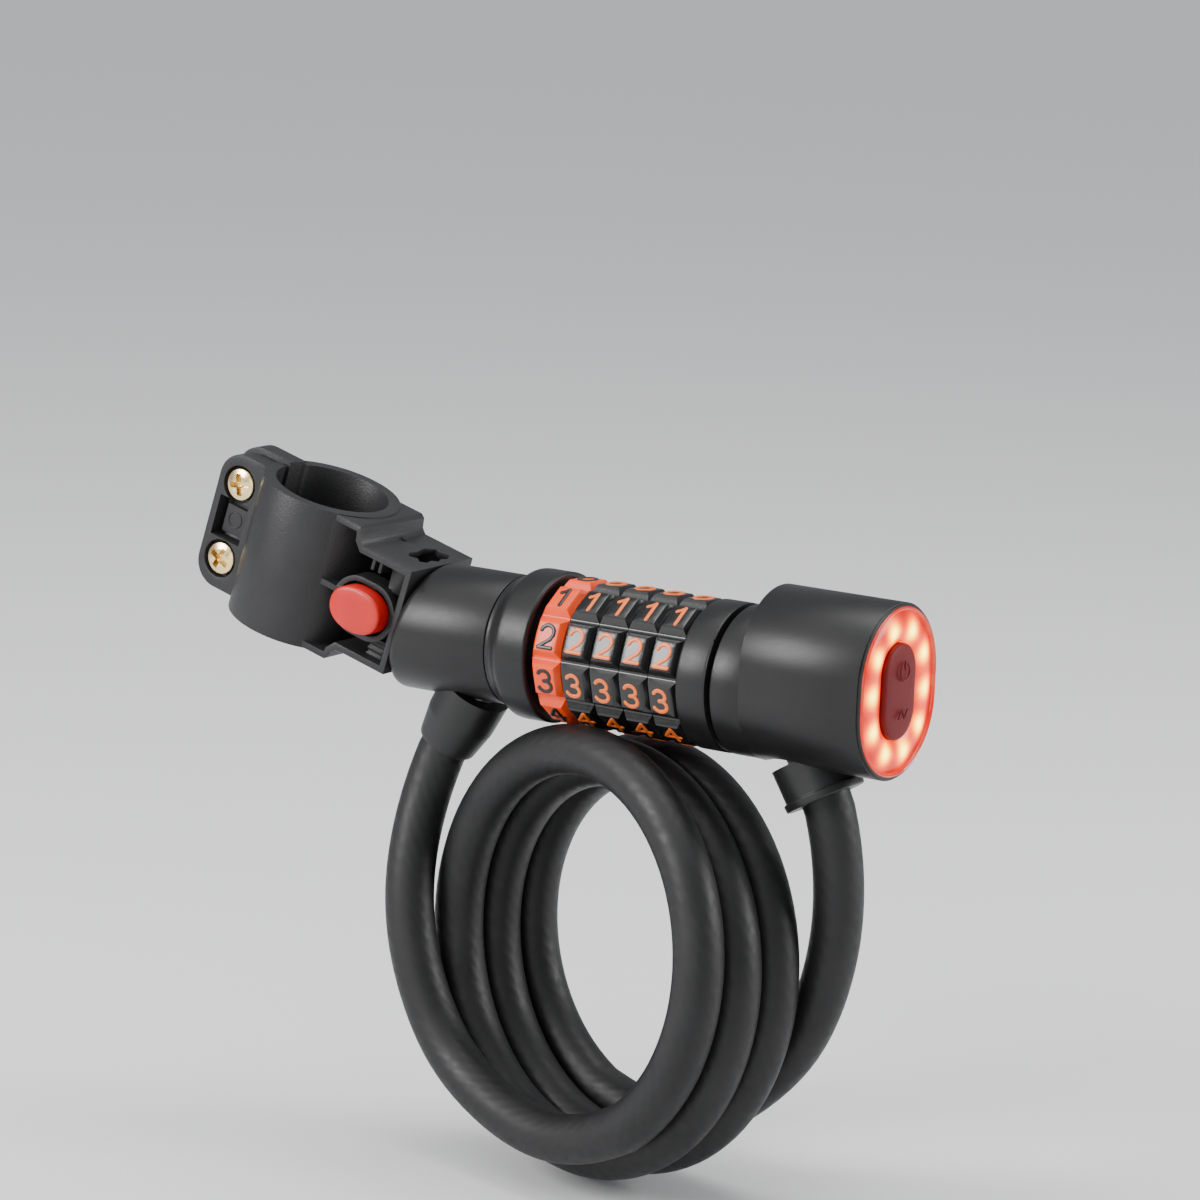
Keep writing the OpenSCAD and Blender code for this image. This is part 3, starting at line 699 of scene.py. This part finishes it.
# strokes of each numeral, in a box about 4 wide and 6 high that NUMERAL_SIZE scales
STROKES = {
    0: [arc(0, 0, 1.9, 2.85, 90, 450, 28)],
    1: [[(-1.35, 1.5), (-0.4, 2.1), (0.35, 2.85)], [(0.35, 2.85), (0.35, 0), (0.35, -2.85)]],
    2: [[*arc(0, 1.05, 1.85, 1.8, 165, -20, 12), (1.2, -0.6), (-1.85, -2.85)],
        [(-1.85, -2.85), (0, -2.85), (1.95, -2.85)]],
    3: [[*arc(0, 1.4, 1.65, 1.45, 155, -75, 12), (-0.1, 0.0)],
        [(-0.1, 0.0), *arc(0, -1.35, 1.9, 1.5, 80, -155, 14)]],
    4: [[(0.9, 2.85), (-0.6, 0.9), (-2.0, -1.1)], [(-2.0, -1.1), (0, -1.1), (2.1, -1.1)],
        [(0.9, 2.85), (0.9, 0), (0.9, -2.85)]],
    5: [[(1.7, 2.85), (0, 2.85), (-1.35, 2.85)], [(-1.35, 2.85), (-1.5, 1.6), (-1.65, 0.35)],
        [(-1.65, 0.35), *arc(0, -1.0, 1.9, 1.85, 125, -150, 14)]],
    6: [[(1.25, 2.8), *arc(1.1, -0.9, 3.0, 3.7, 100, 178, 8)], arc(0, -1.0, 1.9, 1.85, 180, 540, 24)],
    7: [[(-1.85, 2.85), (0, 2.85), (1.95, 2.85)], [(1.95, 2.85), (0.4, 0.2), (-0.6, -2.85)]],
    8: [arc(0, 1.45, 1.55, 1.4, 90, 450, 22), arc(0, -1.4, 1.9, 1.5, 90, 450, 24)],
    9: [[(-1.25, -2.8), *arc(-1.1, 0.9, 3.0, 3.7, 280, 358, 8)], arc(0, 1.0, 1.9, 1.85, 0, 360, 24)],
}
STROKE_HALF = 0.5 * MM                                 # half a stroke's width
STROKE_RISE = 0.28 * MM                                # its height over the pad
STROKE_ROOT = 0.3 * MM                                 # and its depth into it
NUMERAL_SIZE = 0.95 * MM


def stroke_mesh(points, place, out, up):
    """One raised stroke with a rounded back and rounded ends, on the pad's flat top."""
    caps, arch = 4, 8                                  # steps round a stroke's end and over its back
    right = Vector((1, 0, 0))
    flat = [Vector((u, v, 0)) * NUMERAL_SIZE for u, v in points]
    loop = (flat[0] - flat[-1]).length < 0.05 * MM
    rings = []
    for i, here in enumerate(flat):
        if loop:
            way = flat[(i + 1) % (len(flat) - 1)] - flat[i - 1 if i else -2]
        else:
            way = flat[min(i + 1, len(flat) - 1)] - flat[max(i - 1, 0)]
        way.normalize()
        side = Vector((-way.y, way.x, 0))
        ends = [(0.0, 1.0)]
        quarter = [math.pi / 2 * k / caps for k in range(1, caps + 1)]
        if not loop and i == 0:
            ends = [(-math.cos(a), math.sin(a)) for a in quarter]
        elif not loop and i == len(flat) - 1:
            ends = [(math.cos(a), math.sin(a)) for a in reversed(quarter)]
        for ahead, width in ends:
            spot = here + way * ahead * STROKE_HALF
            ring = []
            for k in range(arch + 1):
                a = math.pi * k / arch
                bit = spot + side * math.cos(a) * STROKE_HALF * width
                lift = math.sin(a) ** 0.7 * STROKE_RISE * math.sqrt(width)
                ring.append(place + right * bit.x + up * bit.y + out * lift)
            for k in (arch - 1, 1):
                a = math.pi * k / arch
                bit = spot + side * math.cos(a) * STROKE_HALF * width * 0.9
                ring.append(place + right * bit.x + up * bit.y - out * STROKE_ROOT)
            rings.append(ring)
    if loop:
        rings.pop()
    return loft("stroke", rings, closed=loop)


def dial_numerals(name, x_mid):
    """The digits 0 to 9 of one dial, each on its pad."""
    strokes = []
    for digit in range(PADS):
        out, up = pad_directions(digit)
        place = Vector((x_mid, 0, AXIS_Z)) + out * DIAL_R
        strokes += [stroke_mesh(points, place, out, up) for points in STROKES[digit]]
    return joined(name, strokes)


def make_dials():
    """Five dials: the first orange with black digits, the others black with orange digits."""
    ink_black = moulded("numeral_black", (0.012, 0.011, 0.011), 0.3, 0.2 * MM, 0.004 * MM)
    ink_orange = moulded("numeral_orange", (0.74, 0.145, 0.022), 0.32, 0.2 * MM, 0.004 * MM, vary=0.08)
    for k, x_mid in enumerate(DIAL_X, start=1):
        slot = "orange_plastic" if k == 1 else "dial_plastic"
        finish_piece(dial_body(f"dial_{k}_pads", x_mid), f"dial_{k}", slot, f"dial_{k}")
        finish_piece(dial_numerals(f"dial_{k}_numerals", x_mid), f"dial_{k}", slot,
                 look=ink_black if k == 1 else ink_orange)


# ---------- lock body ----------

HOUSING_R = 15.8 * MM
WALL_X = 36.45 * MM                                    # face of the arm's end wall, from the seatpost


def make_housing():
    """Plain barrel whose left end is cut parallel to the seatpost, with a well-rounded rim."""
    sides, rim, rim_steps = 128, 2.6 * MM, 8
    right_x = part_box("left_housing")[1].x

    def wall(z):
        """The end wall's x at a height."""
        return (WALL_X + z * math.sin(POST_LEAN)) / math.cos(POST_LEAN)

    def loop(radius, from_wall=None, x=None):
        """A loop that follows the leaning wall, or an upright one at x."""
        ring = []
        for k in range(sides):
            a = 2 * math.pi * k / sides
            y, z = radius * math.cos(a), AXIS_Z + radius * math.sin(a)
            ring.append(Vector((wall(z) + from_wall if x is None else x, y, z)))
        return ring

    loops = [loop(1 * MM, 0), loop(7 * MM, 0)]
    for k in range(rim_steps + 1):
        a = math.pi / 2 * k / rim_steps
        loops.append(loop(HOUSING_R - rim * (1 - math.sin(a)), rim * (1 - math.cos(a))))
    loops += [loop(HOUSING_R, x=right_x - 0.35 * MM), loop(HOUSING_R - 0.1 * MM, x=right_x - 0.12 * MM),
              loop(HOUSING_R - 0.35 * MM, x=right_x), loop(HOUSING_R - 2.4 * MM, x=right_x)]
    finish_piece(loft("housing_barrel", loops), "lock_body", "black_plastic", "left_housing")


def make_collar():
    """The barrel flares into a collar that stands proud of the dials."""
    start, end = 62.15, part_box("dial_collar")[1].x / MM
    step = [(start, 13.2, 0), (start, 15.75, 0.35), (start + 0.9, 15.8, 0)]
    flare = [(start + 0.9 + 4.4 * t, 15.85 + 2.4 * smooth_step(t)) for t in (k / 10 for k in range(11))]
    lip = [(68, 18.3, 0), (end, 18.3, 0.7), (end, 16.9, 0.25), (end - 1.25, 16.9, 0.2), (end - 1.25, 9.6, 0)]
    outline = [*fillet(step), *flare, *fillet(lip), (start + 0.2, 9.6)]
    finish_piece(on_axis("dial_collar_skin", outline, closed=True), "lock_body", "black_plastic",
                 "dial_collar")


def make_cable_collars():
    """A plain tapered collar on the lock's side, and one with a lip on the light's side."""
    left_dir = (math.sin(GLAND_LEAN), 0, math.cos(GLAND_LEAN))
    outline = fillet([(0.5, 6.0, 0), (0, 6.2, 0.2), (0, 7.25, 0.35), (1, 7.45, 1), (7.8, 8.6, 3),
                      (16.5, 8.75, 0), (16.5, 6, 0)])
    left = revolve("left_collar_skin", [(a * MM, r * MM) for a, r in outline], LEFT_MOUTH, left_dir)
    finish_piece(left, "lock_body", "collar_plastic", "left_cable_collar")
    right_dir = (-math.sin(GLAND_LEAN), 0, math.cos(GLAND_LEAN))
    outline = fillet([(0.5, 6.0, 0), (0, 6.2, 0.2), (0, 9.7, 0.45), (1.9, 9.85, 0.35), (2.0, 9.15, 0.3),
                      (6.5, 9.25, 2), (10.2, 9.35, 0), (10.2, 6, 0)])
    right = revolve("right_collar_skin", [(a * MM, r * MM) for a, r in outline], RIGHT_MOUTH, right_dir)
    finish_piece(right, "plug", "collar_plastic", "right_cable_collar")


# ---------- light ----------

LOW_Z = AXIS_Z                                         # centres of the head's lower round end
HIGH_Z = AXIS_Z + 5.8 * MM                             # and its upper one
KEY_LOW_Z, KEY_HIGH_Z = -13.9 * MM, -5.1 * MM          # the same for the light's button
KEY_HOLE_R = 7.25                                      # the lens's radii, in millimetres
LENS_R = 16
LAMPS = 10


def oval(x, radius, low=LOW_Z, high=HIGH_Z):
    """An upright oval loop at x: round ends joined by flats."""
    steps, flat_steps, loop = 40, 5, []
    for k in range(steps + 1):
        a = math.pi * k / steps
        loop.append(Vector((x, radius * math.cos(a), high + radius * math.sin(a))))
    loop += [Vector((x, -radius, high + (low - high) * k / flat_steps)) for k in range(1, flat_steps)]
    for k in range(steps + 1):
        a = math.pi * (1 + k / steps)
        loop.append(Vector((x, radius * math.cos(a), low + radius * math.sin(a))))
    loop += [Vector((x, radius, low + (high - low) * k / flat_steps)) for k in range(1, flat_steps)]
    return loop


def lamp_places():
    """Ten lamps spaced evenly round the oval between the button and the lens's edge."""
    ring, flat = 11.9 * MM, HIGH_Z - LOW_Z
    whole = 2 * math.pi * ring + 2 * flat
    places = []
    # s runs along the oval: over the top from +Y to -Y, down, under the bottom and up again
    for k in range(LAMPS):
        s = (whole * (k + 0.5) / LAMPS + 0.25 * math.pi * ring) % whole
        if s < math.pi * ring:
            places.append((ring * math.cos(s / ring), HIGH_Z + ring * math.sin(s / ring)))
        elif s < math.pi * ring + flat:
            places.append((-ring, HIGH_Z - (s - math.pi * ring)))
        elif s < 2 * math.pi * ring + flat:
            a = math.pi + (s - math.pi * ring - flat) / ring
            places.append((ring * math.cos(a), LOW_Z + ring * math.sin(a)))
        else:
            places.append((ring, LOW_Z + (s - 2 * math.pi * ring - flat)))
    return places


def make_lens():
    """The lit ring round the button, crowned at the front, and its clear outer edge."""
    front, thick, glow_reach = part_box("lens_ring")[1].x, 3 * MM, 2.9 * MM
    radii = [KEY_HOLE_R, 7.4, 7.9, 8.6, 9.4, 10.2, 11, 11.8, 12.6, 13.4, 14.2, 15, 15.7, LENS_R]

    def crown(r):
        """How far the lens's face stands forward at a radius: highest at 11.6, lower both ways."""
        t = (r - 11.6) / 4.4
        return front - 0.15 * MM - 0.9 * MM * t * t

    loops = [oval(front - thick, KEY_HOLE_R * MM, KEY_LOW_Z, KEY_HIGH_Z)]
    for r in radii:
        # the loops change from the button's oval to the head's
        t = smooth_step((r - KEY_HOLE_R) / 6)
        loops.append(oval(crown(r), r * MM, KEY_LOW_Z * (1 - t) + LOW_Z * t,
                          KEY_HIGH_Z * (1 - t) + HIGH_Z * t))
    loops.append(oval(front - thick, LENS_R * MM))
    lens = loft("lens_ring_lit", loops)
    glow = lens.data.attributes.new("glow", "FLOAT", "POINT")
    lamps, values = lamp_places(), []
    for vertex in lens.data.vertices:
        y, z = vertex.co.y, vertex.co.z
        near = sum(math.exp(-((y - a) ** 2 + (z - b) ** 2) / glow_reach ** 2) for a, b in lamps)
        values.append(min(1.0, near))
    glow.data.foreach_set("value", values)
    finish_piece(lens, "plug", "lens", "lens_ring")
    ring = [(-3.2, 15.95), (-1.1, 16), (-0.4, 16.1), (-0.1, 16.35), (0, 16.6), (-0.1, 16.8), (-0.35, 16.95),
            (-0.6, 16.97), (-0.62, 16.25), (-3.2, 16.22)]
    edge = loft("lens_outer_edge", [oval(front + x * MM, r * MM) for x, r in ring], closed=True)
    finish_piece(edge, "plug", "lens", look=rim_look())


def make_light_button():
    """Soft oval button with two raised signs: a power ring and a flash."""
    low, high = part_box("power_button")
    # distance from the back, and inset from the button's radius of 7, in millimetres
    sections = [(0, 0), (0.35, 0), (3.1, 0), (3.5, 0.12), (3.75, 0.4), (3.9, 1.0), (4.05, 3), (4.12, 6.2)]
    loops = [oval(low.x + along * MM, (7 - inset) * MM, KEY_LOW_Z, KEY_HIGH_Z) for along, inset in sections]
    finish_piece(loft("light_button", loops), "power_key", "button_silicone", "power_button")
    right, up = Vector((0, 1, 0)), Vector((0, 0, 1))
    power = [arc(0, 0, 2.0, 2.0, 125, 415, 22), [(0, 2.6), (0, 1.6), (0, 0.6)]]
    flash = [[(-2.1, -1.0), (-0.6, 1.0), (0.6, -1.0), (2.1, 1.0)]]
    signs = []
    for strokes, z in ((power, -4.6), (flash, -14.6)):
        place = Vector((high.x + 0.02 * MM, 0, z * MM))
        for points in strokes:
            path = [place + right * u * MM + up * v * MM for u, v in points]
            signs.append(tube("sign", path, 0.22 * MM, 8))
    finish_piece(joined("light_button_signs", signs), "power_key", "button_silicone")


# ---------- bracket ----------

BUTTON_X, BUTTON_Z = 25.6, -1.3                        # the release button's middle, for on_post


def on_post(x, y, z):
    """A place given in the leaning seatpost's frame, in millimetres."""
    c, s = math.cos(POST_LEAN), math.sin(POST_LEAN)
    return Vector((x * c + z * s, y, z * c - x * s)) * MM


def make_release_button():
    """A slightly squared oval cap with a low dome, on a short block of a stem."""
    sides, half_width, half_height, squareness = 72, 7.55, 5.55, 0.92
    # distance out from the lock's middle plane, and inset from the cap's outline
    sections = [(12.2, 0.0), (15.9, 0.0), (16.3, 0.12), (16.55, 0.4), (16.68, 0.9), (16.8, 2.4), (16.85, 4.9)]
    loops = []
    for out, inset in sections:
        loop = []
        for k in range(sides):
            a = 2 * math.pi * k / sides
            u = math.copysign(abs(math.cos(a)) ** squareness, math.cos(a)) * (half_width - inset)
            v = math.copysign(abs(math.sin(a)) ** squareness, math.sin(a)) * (half_height - inset)
            loop.append(on_post(BUTTON_X + u, -out, BUTTON_Z + v))
        loops.append(loop)
    cap = loft("release_button_cap", loops)
    corners = [(20.8, -4.1), (25.6, -4.1), (25.6, 1.5), (20.8, 1.5)]
    stem = loft("stem", [[on_post(x, -out, z) for x, z in corners] for out in (12.4, 6.2)])
    finish_piece(joined("release_button_whole", [cap, stem]), "button", "red_plastic", "release_button")


def make_button_spring():
    """Coil spring between the button and its boss."""
    x, radius, wire, front, back = 29, 2.2, 0.2, -12.0, -8.3
    turns, per_turn = 5, 16
    path = []
    for k in range(turns * per_turn + 1):
        a = 2 * math.pi * k / per_turn
        path.append(on_post(x + radius * math.cos(a), front + (back - front) * k / (turns * per_turn),
                            BUTTON_Z + radius * math.sin(a)))
    spring = tube("button_return_spring", path, wire * MM, 8)
    finish_piece(spring, "bracket", "spring_steel", "button_spring")
    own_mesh(spring)


def make_clamp_screws():
    """Pan-head screws with a cross recess, yellow zinc plated."""
    outline = fillet([(-6.35, 0.05, 0), (-6.3, 2.2, 3), (-5.7, 4.0, 0.5), (-5.0, 4.15, 0.2),
                      (-3.6, 4.15, 0), (-3.6, 2.0, 0), (6.3, 2.0, 0.3), (6.4, 0.1, 0)])
    both = []
    for side in (-1, 1):
        centre = on_post(-22.8, 0, side * 10)
        screw = revolve("screw", [(a * MM, r * MM) for a, r in outline], centre, (0, 1, 0))
        # each arm of the cross is a tapered bar: its y, half length and half width at both ends
        for turn in (side * 20, side * 20 + 90):
            a = math.radians(turn) - POST_LEAN
            u, w = Vector((math.cos(a), 0, math.sin(a))), Vector((-math.sin(a), 0, math.cos(a)))
            loops = [[centre + u * p * long * MM + w * q * wide * MM + Vector((0, y * MM, 0))
                      for p, q in ((-1, -1), (1, -1), (1, 1), (-1, 1))]
                     for y, long, wide in ((-7.5, 3.2, 0.86), (-4.3, 2.1, 0.52))]
            cut(screw, loft("recess", loops))
        both.append(screw)
    screws = joined("clamp_screws_pan", both)
    screws.data.set_sharp_from_angle(angle=math.radians(35))
    finish_piece(screws, "bracket", "yellow_zinc", "clamp_screws")


def make_ear_mark():
    """Raised ring moulded on the block in the ear's window."""
    points = arc(0, 0, 2.0, 2.0, 0, 360, 28)
    path = [on_post(-22.6 + u, -4.02, 0.2 + v) for u, v in points]
    finish_piece(tube("ear_mould_mark", path, 0.16 * MM, 8), "bracket", "bracket_plastic")


make_cable()
make_dials()
make_housing()
make_collar()
make_cable_collars()
make_lens()
make_light_button()
make_release_button()
make_button_spring()
make_clamp_screws()
make_ear_mark()


# ---------- stage ----------

def make_stage():
    """A plain pale floor, wide enough to reach the horizon, just clear of the hanging cable."""
    clearance, width, middle_x = 0.004, 60, 0.09
    bpy.ops.mesh.primitive_plane_add(size=width, location=(middle_x, 0, cad_low.z - clearance))
    floor = bpy.context.object
    floor.name = "floor"
    pale = bpy.data.materials.new("pale_floor")
    pale.use_nodes = True
    shader = pale.node_tree.nodes["Principled BSDF"]
    shader.inputs["Base Color"].default_value = (0.72, 0.72, 0.73, 1)
    shader.inputs["Roughness"].default_value = 0.6
    floor.data.materials.append(pale)


def soft_light(name, direction, distance, size, watts):
    """A square softbox that faces the middle of the object."""
    lamp = bpy.data.lights.new(name, "AREA")
    lamp.shape = "SQUARE"
    lamp.size = size
    lamp.energy = watts
    holder = bpy.data.objects.new(name, lamp)
    bpy.context.scene.collection.objects.link(holder)
    target = (cad_low + cad_high) / 2
    aim = Vector(direction).normalized()
    holder.location = target + aim * distance
    holder.rotation_mode = "QUATERNION"
    holder.rotation_quaternion = aim.to_track_quat("Z", "Y")


def make_lights():
    """Four softboxes, a broad sun and an even pale world."""
    soft_light("key", (-0.53, -0.75, 0.45), 1.1, 0.45, 14)
    soft_light("top", (0.1, 0.15, 1.0), 1.2, 0.8, 10)
    soft_light("rim", (0.9, 0.55, 0.35), 1.1, 0.5, 9)
    soft_light("low_fill", (0.2, -1.0, 0.05), 1.4, 0.7, 4)
    # a broad even light that keeps the whole floor pale
    lamp = bpy.data.lights.new("sky", "SUN")
    lamp.energy = 1.5
    lamp.angle = math.radians(70)
    sky = bpy.data.objects.new("sky", lamp)
    bpy.context.scene.collection.objects.link(sky)
    sky.rotation_euler = (math.radians(25), 0, math.radians(-20))
    world = bpy.data.worlds.new("studio")
    world.use_nodes = True
    back = world.node_tree.nodes["Background"]
    back.inputs["Color"].default_value = (0.80, 0.82, 0.85, 1)
    back.inputs["Strength"].default_value = 0.45
    bpy.context.scene.world = world


make_stage()
make_lights()
